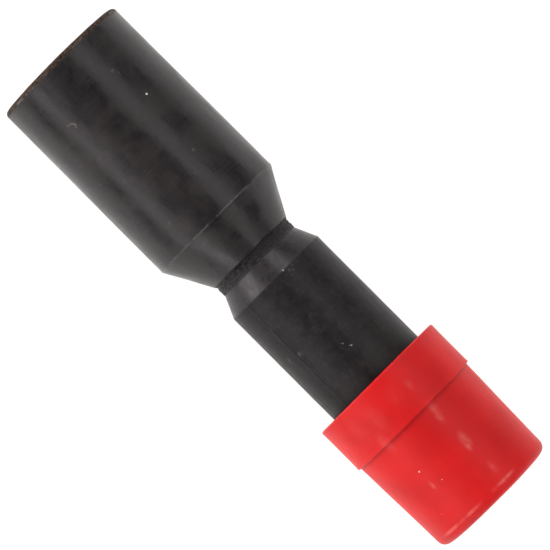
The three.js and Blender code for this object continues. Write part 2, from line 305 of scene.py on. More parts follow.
# ------------------------------------------------------------------ material helpers
class Nodes:
    def __init__(self, name):
        self.mat = bpy.data.materials.new(name)
        self.mat.use_nodes = True
        self.t = self.mat.node_tree
        self.t.nodes.clear()
        self.out = self.t.nodes.new("ShaderNodeOutputMaterial")
        self.bsdf = self.t.nodes.new("ShaderNodeBsdfPrincipled")
        self.t.links.new(self.bsdf.outputs[0], self.out.inputs[0])
        co = self.t.nodes.new("ShaderNodeTexCoord")
        m = self.t.nodes.new("ShaderNodeMapping")
        m.inputs["Location"].default_value = (-X0 * 1000, -YC * 1000, -ZC * 1000)
        m.inputs["Scale"].default_value = (1000, 1000, 1000)
        self.link(co.outputs["Object"], m.inputs[0])
        self.mm = m.outputs[0]              # millimetres: station, across, up from the axis
        sep = self.t.nodes.new("ShaderNodeSeparateXYZ")
        self.link(self.mm, sep.inputs[0])
        self.s, self.y, self.z = sep.outputs

    def link(self, a, b):
        self.t.links.new(a, b)

    def put(self, socket, value):
        if isinstance(value, (int, float)):
            socket.default_value = value
        elif isinstance(value, (tuple, list)):
            socket.default_value = value if len(value) == len(socket.default_value) else (*value, 1.0)
        else:
            self.link(value, socket)

    def math(self, op, a, b=None, c=None, clamp=False):
        n = self.t.nodes.new("ShaderNodeMath")
        n.operation, n.use_clamp = op, clamp
        for i, v in enumerate((a, b, c)):
            if v is not None:
                self.put(n.inputs[i], v)
        return n.outputs[0]

    def scaled(self, sx, sy, sz, vec=None, offset=(0, 0, 0)):
        m = self.t.nodes.new("ShaderNodeMapping")
        m.inputs["Scale"].default_value = (sx, sy, sz)
        m.inputs["Location"].default_value = offset
        self.link(vec if vec is not None else self.mm, m.inputs[0])
        return m.outputs[0]

    def noise(self, scale, detail=4.0, rough=0.55, vec=None, distortion=0.0):
        """scale: features per mm, one number or three."""
        n = self.t.nodes.new("ShaderNodeTexNoise")
        n.inputs["Detail"].default_value = detail
        n.inputs["Roughness"].default_value = rough
        n.inputs["Distortion"].default_value = distortion
        n.inputs["Scale"].default_value = 1.0
        sc = (scale,) * 3 if isinstance(scale, (int, float)) else scale
        self.link(self.scaled(*sc, vec=vec), n.inputs["Vector"])
        return n.outputs[0]

    def voronoi(self, scale, feature="F1", rand=1.0, vec=None):
        n = self.t.nodes.new("ShaderNodeTexVoronoi")
        n.feature = feature
        n.inputs["Scale"].default_value = 1.0
        n.inputs["Randomness"].default_value = rand
        sc = (scale,) * 3 if isinstance(scale, (int, float)) else scale
        self.link(self.scaled(*sc, vec=vec), n.inputs["Vector"])
        return n.outputs[0]

    def ramp(self, v, lo, hi, a=0.0, b=1.0, smooth=True):
        n = self.t.nodes.new("ShaderNodeMapRange")
        n.interpolation_type = "SMOOTHSTEP" if smooth else "LINEAR"
        n.clamp = True
        self.put(n.inputs[0], v)
        for i, x in enumerate((lo, hi, a, b)):
            self.put(n.inputs[i + 1], x)
        return n.outputs[0]

    def mix(self, f, a, b, mode="MIX"):
        n = self.t.nodes.new("ShaderNodeMix")
        n.data_type, n.blend_type = "RGBA", mode
        n.clamp_factor = True
        self.put(n.inputs[0], f)
        self.put(n.inputs[6], a)
        self.put(n.inputs[7], b)
        return n.outputs[2]

    def near(self, s, y, z, radius, soft=0.5, along=1.0):
        """1 within radius mm of a point, 0 beyond; along stretches it along the axis."""
        n = self.t.nodes.new("ShaderNodeVectorMath")
        n.operation = "DISTANCE"
        self.link(self.mm if along == 1.0 else self.scaled(1 / along, 1, 1), n.inputs[0])
        n.inputs[1].default_value = (s / along, y, z)
        return self.ramp(n.outputs["Value"], radius * (1 - soft), radius, 1.0, 0.0)

    def blobs(self, points, soft=0.5, along=1.0):
        """The union of near() over (s, y, z, radius, weight) points."""
        total = None
        for s, y, z, r, w in points:
            v = self.math("MULTIPLY", self.near(s, y, z, r, soft, along), w)
            total = v if total is None else self.math("MAXIMUM", total, v)
        return total

    def angle(self):
        """Angle round the axis, radians, cut at the underside."""
        return self.math("ARCTAN2", self.y, self.z)

    def radius(self):
        return self.math("SQRT", self.math("ADD", self.math("MULTIPLY", self.y, self.y), self.math("MULTIPLY", self.z, self.z)))

    def bump(self, height, microns, strength=1.0, normal=None):
        n = self.t.nodes.new("ShaderNodeBump")
        n.inputs["Strength"].default_value = strength
        n.inputs["Distance"].default_value = microns * 1e-6
        self.link(height, n.inputs["Height"])
        if normal is not None:
            self.link(normal, n.inputs["Normal"])
        return n.outputs[0]

    def set(self, **kw):
        for k, v in kw.items():
            self.put(self.bsdf.inputs[k.replace("_", " ")], v)
        return self.mat


def dress(o, mat, body, slot, *nodes):
    o.data.materials.clear()
    o.data.materials.append(mat)
    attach(o, body)
    if nodes:
        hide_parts(*nodes)
    return o


# ------------------------------------------------------------------ materials
def painted_lip_highlight(k):
    """A painted highlight: a pale line, broken here and there, just inside the rim of the coil boot's mouth, where the
    rounded lip catches the light.
    """
    v = k.ramp(k.math("ABSOLUTE", k.math("SUBTRACT", k.s, FACE + 0.66)), 0.05, 0.26, 1.0, 0.0)
    return k.math("MULTIPLY", v, k.ramp(k.noise((0.3, 0.36, 0.36), 3.0, 0.6), 0.50, 0.64, 0.0, 0.75))


def rubber_rim():
    """The rubber of the mouth's rim: dull and speckled, its browns a painted warm reflection on the rounded corner."""
    k = Nodes("coil_boot_rim_rubber")
    crumbs = k.noise((3.2, 2.4, 2.4), 5.0, 0.8)
    stain = k.noise(0.5, 4.0, 0.6)
    # painted warm reflection: the rounded corner of the rim is painted in speckled browns
    base = k.mix(k.ramp(crumbs, 0.43, 0.60), (0.0025, 0.0016, 0.0010), (0.105, 0.064, 0.042))
    base = k.mix(k.ramp(stain, 0.45, 0.70, 0.0, 0.55), base, (0.030, 0.024, 0.021))
    # the flat face itself stays dark, only stained here and there
    grit = k.noise(5.0, 4.0, 0.7)
    face = k.mix(k.ramp(stain, 0.46, 0.68), (0.0125, 0.0105, 0.0100), (0.024, 0.0175, 0.0140))
    face = k.mix(k.ramp(grit, 0.60, 0.72, 0.0, 0.35), face, (0.060, 0.046, 0.038))
    base = k.mix(k.ramp(k.radius(), COIL_R - 1.0, COIL_R - 0.35), face, base)
    # painted highlight: the pale broken line just inside the rim
    base = k.mix(k.math("MULTIPLY", painted_lip_highlight(k), 0.9), base, (0.165, 0.150, 0.144))
    k.bsdf.inputs["Specular IOR Level"].default_value = 0.14
    return k.set(Base_Color=base, Roughness=k.ramp(crumbs, 0.3, 0.7, 0.5, 0.8, False), Normal=k.bump(crumbs, 40, 0.8))


def rubber_coil():
    k = Nodes("coil_boot_rubber")
    streak = k.noise((2.6, 0.06, 0.06), 5.0, 0.7)               # rings left by the tool, long round the sleeve
    fine = k.noise((7.0, 0.2, 0.2), 3.0, 0.6)
    cloud = k.noise((0.20, 0.30, 0.30), 3.0, 0.5, distortion=0.3)
    grain = k.noise(7.0, 3.0, 0.6)
    blotch = k.noise((0.55, 0.42, 0.42), 5.0, 0.62, distortion=0.5)
    wave = k.noise((0.22, 0.4, 0.4), 3.0, 0.5)
    tone = k.math("ADD", k.math("MULTIPLY", streak, 0.3), k.math("MULTIPLY", cloud, 0.7))
    base = k.mix(k.ramp(tone, 0.36, 0.64), (0.0090, 0.0079, 0.0088), (0.0205, 0.0172, 0.0174))
    smear = k.math("MULTIPLY", k.ramp(blotch, 0.50, 0.72), k.ramp(fine, 0.42, 0.62))
    base = k.mix(k.math("MULTIPLY", smear, 0.20), base, (0.085, 0.078, 0.074))
    # painted warm reflection: the rounded rim of the mouth is painted brown, fading out a little way up the sleeve,
    # where it is also rougher and bumpier
    crumbs = k.noise((4.2, 3.0, 3.0), 4.0, 0.75)
    lip = k.ramp(k.math("ADD", k.s, k.math("MULTIPLY", crumbs, 0.6)), FACE + 0.95, FACE + 1.6, 1.0, 0.0)
    painted_warm_reflection = k.mix(k.ramp(crumbs, 0.42, 0.60), (0.004, 0.0026, 0.0018), (0.060, 0.038, 0.026))
    base = k.mix(k.math("MULTIPLY", lip, 0.85), base, painted_warm_reflection)
    # painted highlight: the pale broken line just inside the rim
    base = k.mix(k.math("MULTIPLY", painted_lip_highlight(k), 0.85), base, (0.135, 0.122, 0.118))
    # painted highlight: the parting line round the shoulder is painted pale, for the light its bead catches
    seam_painted_highlight = k.ramp(k.math("ABSOLUTE", k.math("SUBTRACT", k.s, CONE_S - 0.12)), 0.05, 0.22, 1.0, 0.0)
    seam_painted_highlight = k.math("MULTIPLY", seam_painted_highlight, k.ramp(k.noise((0.3, 0.7, 0.7), 5.0, 0.65), 0.40, 0.58, 0.12, 1.0))
    base = k.mix(k.math("MULTIPLY", seam_painted_highlight, 0.85), base, (0.074, 0.071, 0.070))
    # a fleck of dust, fainter smudges, and one hooked scuff
    base = k.mix(k.blobs([(15.37, 6.38, 11.04, 0.25, 1.0), (15.9, 6.7, 10.8, 0.12, 0.10)]), base, (0.70, 0.69, 0.67))
    smudge = k.blobs([(27.3, 5.26, 11.61, 0.42, 0.8), (8.74, 5.1, 11.63, 0.55, 0.7), (9.6, 5.6, 11.4, 0.4, 0.5), (24.9, -8.3, 9.6, 0.3, 0.5), (20.4, -9.7, 8.2, 0.3, 0.4), (33.0, -6.0, 11.2, 0.5, 0.4)], 0.8)
    base = k.mix(k.math("MULTIPLY", smudge, 0.5), base, (0.115, 0.105, 0.10))
    hook = k.blobs([(9.95, -6.55, 10.9, 0.26, 0.6), (10.05, -6.15, 11.1, 0.26, 0.7), (10.2, -5.8, 11.3, 0.26, 0.8), (10.5, -5.6, 11.4, 0.27, 0.9), (10.8, -5.55, 11.42, 0.25, 0.9), (11.05, -5.75, 11.3, 0.24, 0.6)], 0.8)
    base = k.mix(k.math("MULTIPLY", hook, 0.6), base, (0.19, 0.17, 0.155))
    r = k.math("ADD", k.math("MULTIPLY", fine, 0.06), k.math("ADD", k.math("MULTIPLY", streak, 0.24), k.math("MULTIPLY", cloud, 0.70)))
    rough = k.ramp(r, 0.38, 0.64, 0.24, 0.42, False)
    rough = k.math("ADD", rough, k.math("MULTIPLY", lip, 0.2))
    n1 = k.bump(wave, 60, 0.8)
    n2 = k.bump(blotch, 7, 0.8, n1)
    n3 = k.bump(streak, 5, 0.8, n2)
    n4 = k.bump(grain, 2.0, 0.6, n3)
    n4 = k.bump(k.math("MULTIPLY", lip, crumbs), 60, 0.8, n4)
    k.bsdf.inputs["Specular IOR Level"].default_value = 0.36
    k.bsdf.inputs["IOR"].default_value = 1.5
    return k.set(Base_Color=base, Roughness=rough, Normal=n4)


def rubber_plug():
    k = Nodes("plug_boot_rubber")
    mottle = k.noise(0.62, 6.0, 0.7, distortion=0.5)
    dust = k.noise(3.4, 5.0, 0.75)
    long = k.noise((0.10, 1.6, 1.6), 4.0, 0.6)
    cloud = k.noise(0.2, 3.0, 0.6)
    wave = k.noise((0.25, 0.5, 0.5), 3.0, 0.5)
    base = k.mix(k.ramp(k.math("ADD", k.math("MULTIPLY", mottle, 0.6), k.math("MULTIPLY", cloud, 0.4)), 0.38, 0.64), (0.0085, 0.0074, 0.0078), (0.0185, 0.0162, 0.0168))
    dusty = k.math("MULTIPLY", k.ramp(dust, 0.52, 0.74), k.ramp(mottle, 0.42, 0.66))
    base = k.mix(k.math("MULTIPLY", dusty, 0.30), base, (0.14, 0.13, 0.125))
    # painted light: the flare is painted paler than the straight sleeve, where light falls on it; it is also glossier
    flare = k.ramp(k.s, FLARE_S - 0.25, FLARE_S + 0.1, 1.0, 0.0)
    flare_light_patches = k.noise((1.4, 0.5, 0.5), 5.0, 0.7)
    base = k.mix(k.math("MULTIPLY", flare, k.ramp(flare_light_patches, 0.32, 0.68, 0.08, 0.22)), base, (0.085, 0.077, 0.084))
    # a thin dark line along the parting line, on the -Y side, fainter near the neck
    side = k.math("ABSOLUTE", k.math("SUBTRACT", k.math("ABSOLUTE", k.math("ADD", k.angle(), 0.0)), math.radians(42.7)))
    line = k.math("MULTIPLY", k.ramp(side, 0.006, 0.024, 1.0, 0.0), k.math("LESS_THAN", k.y, 0.0))
    line = k.math("MULTIPLY", line, k.ramp(k.noise((0.7, 0.7, 0.7), 3.0, 0.6), 0.36, 0.6))
    base = k.mix(k.math("MULTIPLY", line, k.ramp(k.s, 60.0, 63.0, 0.35, 0.85)), base, (0.004, 0.0035, 0.0035))
    sp = k.blobs([(51.75, 1.73, 9.70, 0.24, 0.62), (52.5, 2.5, 9.55, 0.34, 0.06), (52.9, 3.0, 9.4, 0.30, 0.05), (53.3, 2.2, 9.6, 0.26, 0.04), (52.2, 3.4, 9.2, 0.28, 0.04), (51.4, 2.6, 9.5, 0.3, 0.08), (68.5, 0.99, 9.83, 0.17, 0.8),
                  (68.3, 0.75, 9.85, 0.12, 0.5), (67.3, 0.16, 9.88, 0.15, 0.5), (67.05, 0.0, 9.88, 0.1, 0.4), (72.7, 3.1, 9.3, 0.08, 0.4), (60.0, 4.9, 8.5, 0.08, 0.4)], 0.7)
    base = k.mix(sp, base, (0.52, 0.50, 0.47))
    rub = k.math("MAXIMUM", k.near(63.6, -6.1, 7.8, 0.8, 0.8), k.near(63.2, -8.1, 5.6, 0.9, 0.8))
    rub = k.math("MULTIPLY", rub, k.ramp(k.noise((1.3, 4.0, 4.0), 4.0, 0.7), 0.46, 0.62))
    base = k.mix(k.math("MULTIPLY", rub, 0.45), base, (0.14, 0.13, 0.12))
    rough = k.ramp(k.math("ADD", k.math("MULTIPLY", mottle, 0.6), k.math("MULTIPLY", long, 0.4)), 0.36, 0.66, 0.36, 0.58, False)
    rough = k.math("SUBTRACT", rough, k.math("MULTIPLY", flare, 0.14))
    n1 = k.bump(wave, 60, 0.8)
    n2 = k.bump(long, 7, 0.7, n1)
    n3 = k.bump(mottle, 18, 0.7, n2)
    n4 = k.bump(dust, 5, 0.7, n3)
    k.bsdf.inputs["Specular IOR Level"].default_value = 0.23
    k.bsdf.inputs["IOR"].default_value = 1.5
    return k.set(Base_Color=base, Roughness=rough, Normal=n4)


def resin():
    k = Nodes("insulator_resin")
    rough_n = k.noise(2.4, 6.0, 0.72)
    scratch = k.noise((0.8, 5.0, 5.0), 4.0, 0.7, distortion=1.2)
    pits = k.noise((1.6, 1.1, 1.1), 5.0, 0.7, distortion=0.8)
    ring = k.noise((6.0, 0.2, 0.2), 3.0, 0.6)
    base = k.mix(k.ramp(rough_n, 0.38, 0.64), (0.0030, 0.0024, 0.0027), (0.0120, 0.0100, 0.0106))
    base = k.mix(k.ramp(scratch, 0.58, 0.72, 0.0, 0.55), base, (0.10, 0.09, 0.088))
    # painted shade: the pits, which the bump sinks, are painted near black
    base = k.mix(k.ramp(pits, 0.50, 0.60, 0.0, 0.9), base, (0.0012, 0.0010, 0.0010))
    # dark spots near the coil-side edge of the neck, in the colour only
    dark_spots = k.blobs([(46.30, -0.7, 8.2, 0.42, 1.0), (46.35, 0.9, 8.1, 0.25, 0.7), (46.55, -2.1, 7.9, 0.32, 0.8), (46.40, -3.1, 7.6, 0.30, 0.9), (46.75, -3.9, 7.2, 0.35, 0.8), (46.40, -4.8, 6.6, 0.30, 0.6), (47.0, -1.4, 8.1, 0.28, 0.6)], 0.8)
    base = k.mix(dark_spots, base, (0.0008, 0.0007, 0.0007))
    # painted light: lighter towards the plug boot, running into the flare's painted light
    base = k.mix(k.ramp(k.math("ADD", k.s, k.math("MULTIPLY", rough_n, 0.9)), PLUG_START - 0.55, PLUG_START + 0.35, 0.0, 0.75), base, (0.024, 0.021, 0.023))
    rough = k.ramp(rough_n, 0.3, 0.7, 0.42, 0.7, False)
    n1 = k.bump(ring, 14, 0.8)
    n2 = k.bump(rough_n, 50, 0.9, n1)
    n3 = k.bump(pits, -90, 0.9, n2)
    k.bsdf.inputs["Specular IOR Level"].default_value = 0.30
    return k.set(Base_Color=base, Roughness=rough, Normal=n3)


def flash():
    k = Nodes("flash_rubber")
    a = k.noise(2.0, 4.0, 0.65)
    b = k.noise(7.0, 3.0, 0.6)
    base = k.mix(k.ramp(a, 0.42, 0.60), (0.010, 0.0085, 0.009), (0.085, 0.078, 0.076))
    return k.set(Base_Color=base, Roughness=k.ramp(b, 0.3, 0.7, 0.45, 0.65, False), Normal=k.bump(b, 8, 0.6))


def red_cap():
    k = Nodes("cap_polyethylene")
    cloud = k.noise(0.11, 3.0, 0.5)
    wave = k.noise((0.22, 0.45, 0.45), 3.0, 0.55)
    drag = k.noise((0.12, 1.1, 1.1), 4.0, 0.6)
    fine = k.noise(4.5, 3.0, 0.6)
    mot = k.noise(0.8, 5.0, 0.6)
    base = k.mix(k.ramp(cloud, 0.35, 0.65), (0.575, 0.0052, 0.0058), (0.665, 0.0072, 0.0076))
    base = k.mix(k.ramp(drag, 0.58, 0.82, 0.0, 0.14), base, (0.88, 0.026, 0.024))
    # painted shade under the collar's step, where its shadow falls
    painted_collar_shade = k.ramp(k.s, CAP_STEP + 0.15, CAP_STEP + 0.75, 1.0, 0.0)
    painted_collar_shade = k.math("MULTIPLY", painted_collar_shade, k.math("GREATER_THAN", k.s, CAP_STEP - 0.02))
    base = k.mix(k.math("MULTIPLY", painted_collar_shade, 0.45), base, (0.42, 0.003, 0.003))
    # dust
    sp = k.near(91.11, -5.85, 10.71, 0.20)
    for q in ((94.62, -4.11, 11.38, 0.12), (95.0, -3.9, 11.4, 0.07), (98.8, -8.2, 8.8, 0.07), (99.9, -9.0, 7.9, 0.07), (78.2, -8.6, 9.6, 0.06), (88.0, 6.4, 10.6, 0.05)):
        sp = k.math("MAXIMUM", sp, k.near(*q))
    base = k.mix(k.math("MULTIPLY", sp, 0.9), base, (0.95, 0.60, 0.55))
    # spots polished by handling, glossier than the matt skin round them; their glints are also painted into the colour
    # as painted highlights
    polish_and_painted_glints = k.blobs([(79.6, 3.1, 12.5, 0.8, 0.35), (85.6, 3.2, 12.0, 1.1, 0.55), (87.0, 2.9, 12.0, 0.9, 0.60), (92.6, 3.2, 11.7, 1.2, 0.75), (93.7, 2.8, 11.8, 0.7, 1.0), (99.0, 3.3, 11.5, 0.9, 0.45),
                    (94.2, -5.9, 10.6, 0.6, 0.75), (84.0, -6.6, 11.0, 1.5, 0.40), (79.8, -4.6, 11.8, 1.8, 0.22), (79.4, -8.4, 9.9, 2.2, 0.18), (79.4, 0.0, 12.8, 1.8, 0.12)], 1.0, 2.0)
    polish_and_painted_glints = k.math("MULTIPLY", polish_and_painted_glints, k.ramp(k.noise((0.7, 1.3, 1.3), 4.0, 0.6), 0.36, 0.62, 0.5, 1.0))
    # painted highlight: the glints of the polished spots
    base = k.mix(k.math("MULTIPLY", polish_and_painted_glints, 0.36), base, (0.84, 0.28, 0.24))
    # painted highlight: a pale line round the closed end, where the wall turns in and the rounded corner catches the
    # light
    ring = k.ramp(k.math("ABSOLUTE", k.math("SUBTRACT", k.s, CAP_END - 1.75)), 0.06, 0.45, 1.0, 0.0)
    ring = k.math("MULTIPLY", ring, k.ramp(k.noise((0.2, 0.5, 0.5), 3.0, 0.55), 0.36, 0.58, 0.25, 1.0))
    ends = k.blobs([(101.4, 3.0, 11.4, 3.2, 1.0), (101.4, -5.0, 10.6, 4.0, 0.8), (101.4, -8.8, 7.8, 3.8, 0.8)], 0.8)
    # painted highlight round the closed end
    base = k.mix(k.math("MULTIPLY", k.math("MULTIPLY", ring, ends), 0.42), base, (0.84, 0.27, 0.23))
    rough = k.ramp(k.math("ADD", k.math("MULTIPLY", drag, 0.5), k.math("MULTIPLY", wave, 0.5)), 0.3, 0.7, 0.42, 0.56, False)
    rough = k.math("SUBTRACT", rough, k.math("MULTIPLY", polish_and_painted_glints, 0.06))
    n1 = k.bump(wave, 26, 0.7)
    n2 = k.bump(drag, 5, 0.7, n1)
    n3 = k.bump(fine, 1.2, 0.6, n2)
    k.bsdf.inputs["Subsurface Weight"].default_value = 0.12
    k.bsdf.inputs["Subsurface Radius"].default_value = (1.0, 0.12, 0.08)
    k.bsdf.inputs["Subsurface Scale"].default_value = 0.0012
    k.bsdf.inputs["Specular IOR Level"].default_value = 0.27
    k.bsdf.inputs["IOR"].default_value = 1.5
    return k.set(Base_Color=base, Roughness=rough, Normal=n3)


def seal_silicone():
    k = Nodes("seal_silicone")
    a = k.noise(1.2, 5.0, 0.65)
    b = k.noise(6.0, 3.0, 0.6)
    base = k.mix(k.ramp(a, 0.35, 0.68), (0.20, 0.040, 0.024), (0.30, 0.066, 0.038))
    base = k.mix(k.ramp(b, 0.62, 0.8, 0.0, 0.3), base, (0.45, 0.22, 0.16))
    return k.set(Base_Color=base, Roughness=k.ramp(a, 0.3, 0.7, 0.42, 0.6, False), Normal=k.bump(b, 6, 0.6, k.bump(a, 12, 0.5)))


def metal(name, dark, light, rough=(0.2, 0.36), turned=True, tarnish=None):
    k = Nodes(name)
    ring = k.noise((14.0, 0.25, 0.25) if turned else (3.0, 3.0, 3.0), 4.0, 0.65)
    stain = k.noise(0.7, 5.0, 0.65)
    fine = k.noise(9.0, 3.0, 0.6)
    base = k.mix(k.ramp(ring, 0.3, 0.7), dark, light)
    if tarnish:
        base = k.mix(k.ramp(stain, 0.5, 0.75, 0.0, 0.6), base, tarnish)
    r = k.ramp(k.math("ADD", k.math("MULTIPLY", ring, 0.5), k.math("MULTIPLY", stain, 0.5)), 0.3, 0.7, rough[0], rough[1], False)
    n = k.bump(fine, 1.2, 0.5, k.bump(ring, 5, 0.8))
    k.bsdf.inputs["Metallic"].default_value = 1.0
    return k.set(Base_Color=base, Roughness=r, Normal=n)


def ceramic():
    k = Nodes("resistor_ceramic")
    a = k.noise(1.6, 5.0, 0.6)
    b = k.noise(8.0, 3.0, 0.6)
    base = k.mix(k.ramp(a, 0.35, 0.65), (0.70, 0.66, 0.57), (0.82, 0.79, 0.71))
    return k.set(Base_Color=base, Roughness=k.ramp(b, 0.3, 0.7, 0.5, 0.72, False), Normal=k.bump(b, 8, 0.6))


def varnished_wire():
    k = Nodes("resistance_wire")
    a = k.noise((0.4, 2.0, 2.0), 4.0, 0.6)
    b = k.noise(5.0, 3.0, 0.6)
    base = k.mix(k.ramp(a, 0.35, 0.65), (0.15, 0.10, 0.06), (0.30, 0.21, 0.12))
    k.bsdf.inputs["Metallic"].default_value = 0.7
    k.bsdf.inputs["Coat Weight"].default_value = 0.4
    k.bsdf.inputs["Coat Roughness"].default_value = 0.2
    return k.set(Base_Color=base, Roughness=k.ramp(b, 0.3, 0.7, 0.3, 0.5, False), Normal=k.bump(b, 3, 0.5))


M_COIL, M_PLUG, M_RESIN, M_RED, M_SEAL = rubber_coil(), rubber_plug(), resin(), red_cap(), seal_silicone()
M_BRASS = metal("turned_brass", (0.55, 0.37, 0.12), (0.78, 0.57, 0.23), (0.22, 0.38), tarnish=(0.36, 0.22, 0.09))
M_NICKEL = metal("nickel_plate", (0.50, 0.47, 0.42), (0.68, 0.65, 0.59), (0.2, 0.36), tarnish=(0.40, 0.36, 0.30))
M_WIRE = metal("spring_wire", (0.36, 0.36, 0.37), (0.58, 0.58, 0.60), (0.22, 0.4), turned=False, tarnish=(0.26, 0.24, 0.22))
M_CERAMIC, M_RESIST = ceramic(), varnished_wire()


# ------------------------------------------------------------------ the two rubber sleeves
def coil_boot():
    inner = COIL_R - 3.4
    floor_s, bore = 22.0, 6.5
    c = [(FACE, inner + 0.7, 0.3), (FACE, COIL_R, 0.8), (CONE_S, COIL_R, 0.25), (COIL_END, 8.45, 0.06), (COIL_END, bore, 0.05)]
    c += [(35.3, bore), (35.3, 7.35), (31.7, bore), (floor_s, bore, 0.1), (floor_s, inner, 0.35)]
    for s in (10.6, 7.4, 4.2):
        c += [(s + 0.95, inner, 0.5), (s, inner - 0.5, 0.35), (s - 0.95, inner, 0.5)]
    c += [(FACE + 1.2, inner, 0.4)]
    line_s = CONE_S - 0.12                       # the mould's parting line, round the shoulder

    def step(s, r):
        if r > inner + 0.2 and (s < FACE + 1.2 or abs(s - line_s) < 0.7 or s > COIL_END - 0.8):
            return 0.12
        return 0.5 if r > inner + 0.5 else 0.8

    def bump(s, a, r):
        if r < inner + 1.2 and s > FACE + 0.2:
            return 0.0
        y, z = math.cos(a), math.sin(a)
        d = 0.035 * fractal(s * 0.07, y * 1.3, z * 1.3, 2, 3.1)               # the sleeve isn't quite true
        d += 0.07 * smooth(s, 14, 27) * smooth(r, 11, 12.6)                     # and a little fuller at the shoulder
        d += 0.022 * fractal(s * 0.35, y * 3.2, z * 3.2, 3, 8.4)
        if s < FACE + 0.6:
            d += 0.030 * fractal(s * 2.0, y * 9, z * 9, 3, 5.0)                # lip trimmed by hand
        if s > COIL_END - 0.8 and r > 7.4:
            d += 0.07 * fractal(s * 2.0, y * 12, z * 12, 3, 2.2)               # ragged edge at the neck
        d += 0.075 * ridge(s - line_s, 0.24)
        return d

    return lathe("coil_boot_sleeve", c, seg=224, step=step, bump=bump)


def plug_boot():
    bore, mouth = 6.5, 5.0
    c = [(PLUG_START, bore, 0.05), (PLUG_START, 8.15), (FLARE_S, PLUG_R, 0.25), (PLUG_END, PLUG_R, 1.0)]
    c += [(PLUG_END, mouth + 0.9, 0.3), (PLUG_END - 1.4, mouth, 0.4)]
    for s in (96.0, 91.0, 86.0):
        c += [(s + 0.95, mouth, 0.4), (s, mouth - 0.35, 0.3), (s - 0.95, mouth, 0.4)]
    c += [(80.8, mouth, 0.2), (80.8, bore, 0.1), (63.3, bore), (59.7, 7.35), (59.7, bore)]
    part = math.radians(132.7)                                                  # the mould's parting line, along the sleeve
    extra = [part + t + w * math.radians(0.45) for t in (0, math.pi) for w in range(-6, 7)]

    def bump(s, a, r):
        if r < 7.6 and s < PLUG_END - 0.3:
            return 0.0
        if r < mouth + 1.2:
            return 0.0
        y, z = math.cos(a), math.sin(a)
        d = 0.030 * fractal(s * 0.09, y * 1.5, z * 1.5, 2, 11.3)
        d += 0.030 * fractal(s * 0.45, y * 4.5, z * 4.5, 3, 6.6)
        line = max(ridge(away(a, part) * r, 0.26), ridge(away(a, part + math.pi) * r, 0.26))
        if s > FLARE_S:
            d += line * (0.075 + 0.03 * fractal(s * 0.8, 0, 0, 2, 1.7))
        return d * smooth(s, PLUG_START, PLUG_START + 0.3)

    return lathe("plug_boot_sleeve", c, seg=208, step=0.6, extra=extra, bump=bump)


def insulator_tube():
    r, bore = 6.4, 3.25
    n0, n1 = COIL_END + 0.01, PLUG_START - 0.005
    c = [(TUBE_START, bore, 0.15), (TUBE_START, r, 0.4), (32.0, r), (35.0, 7.1, 0.08), (35.0, r)]
    c += [(n0, r), (n0, NECK_R + 0.20), (n0 + 0.45, NECK_R, 0.1), (n1 - 0.3, NECK_R, 0.1), (n1, NECK_R - 0.05), (n1, r), (60.0, r), (60.0, 7.1, 0.08), (63.0, r)]
    c += [(TUBE_END, r, 0.4), (TUBE_END, 5.1, 0.1), (66.1, 5.1, 0.1), (66.1, bore)]

    def step(s, rr):
        return 0.16 if (rr > 7.6 and n0 - 0.1 < s < n1 + 0.1) else 0.9

    def bump(s, a, rr):
        if rr < 7.5:
            return 0.0
        y, z = math.cos(a), math.sin(a)
        d = -0.07 + 0.24 * fractal(s * 1.3, y * 9, z * 9, 4, 14.0) + 0.14 * fractal(s * 2.4, y * 20, z * 20, 3, 4.0)
        # scratches that run round the neck
        for s0, h, seed in ((46.3, 0.13, 1.0), (46.95, 0.12, 2.0), (47.5, 0.10, 3.0)):
            wob = 0.18 * fractal(0, y * 2.5, z * 2.5, 2, seed * 5)
            d -= h * ridge(s - s0 - wob, 0.17) * (0.5 + 0.5 * fractal(0, y * 4, z * 4, 2, seed))
        return d * smooth(s, n0, n0 + 0.15) * (1 - smooth(s, n1 - 0.25, n1))

    return lathe("insulator_tube_body", c, seg=288, step=step, bump=bump)


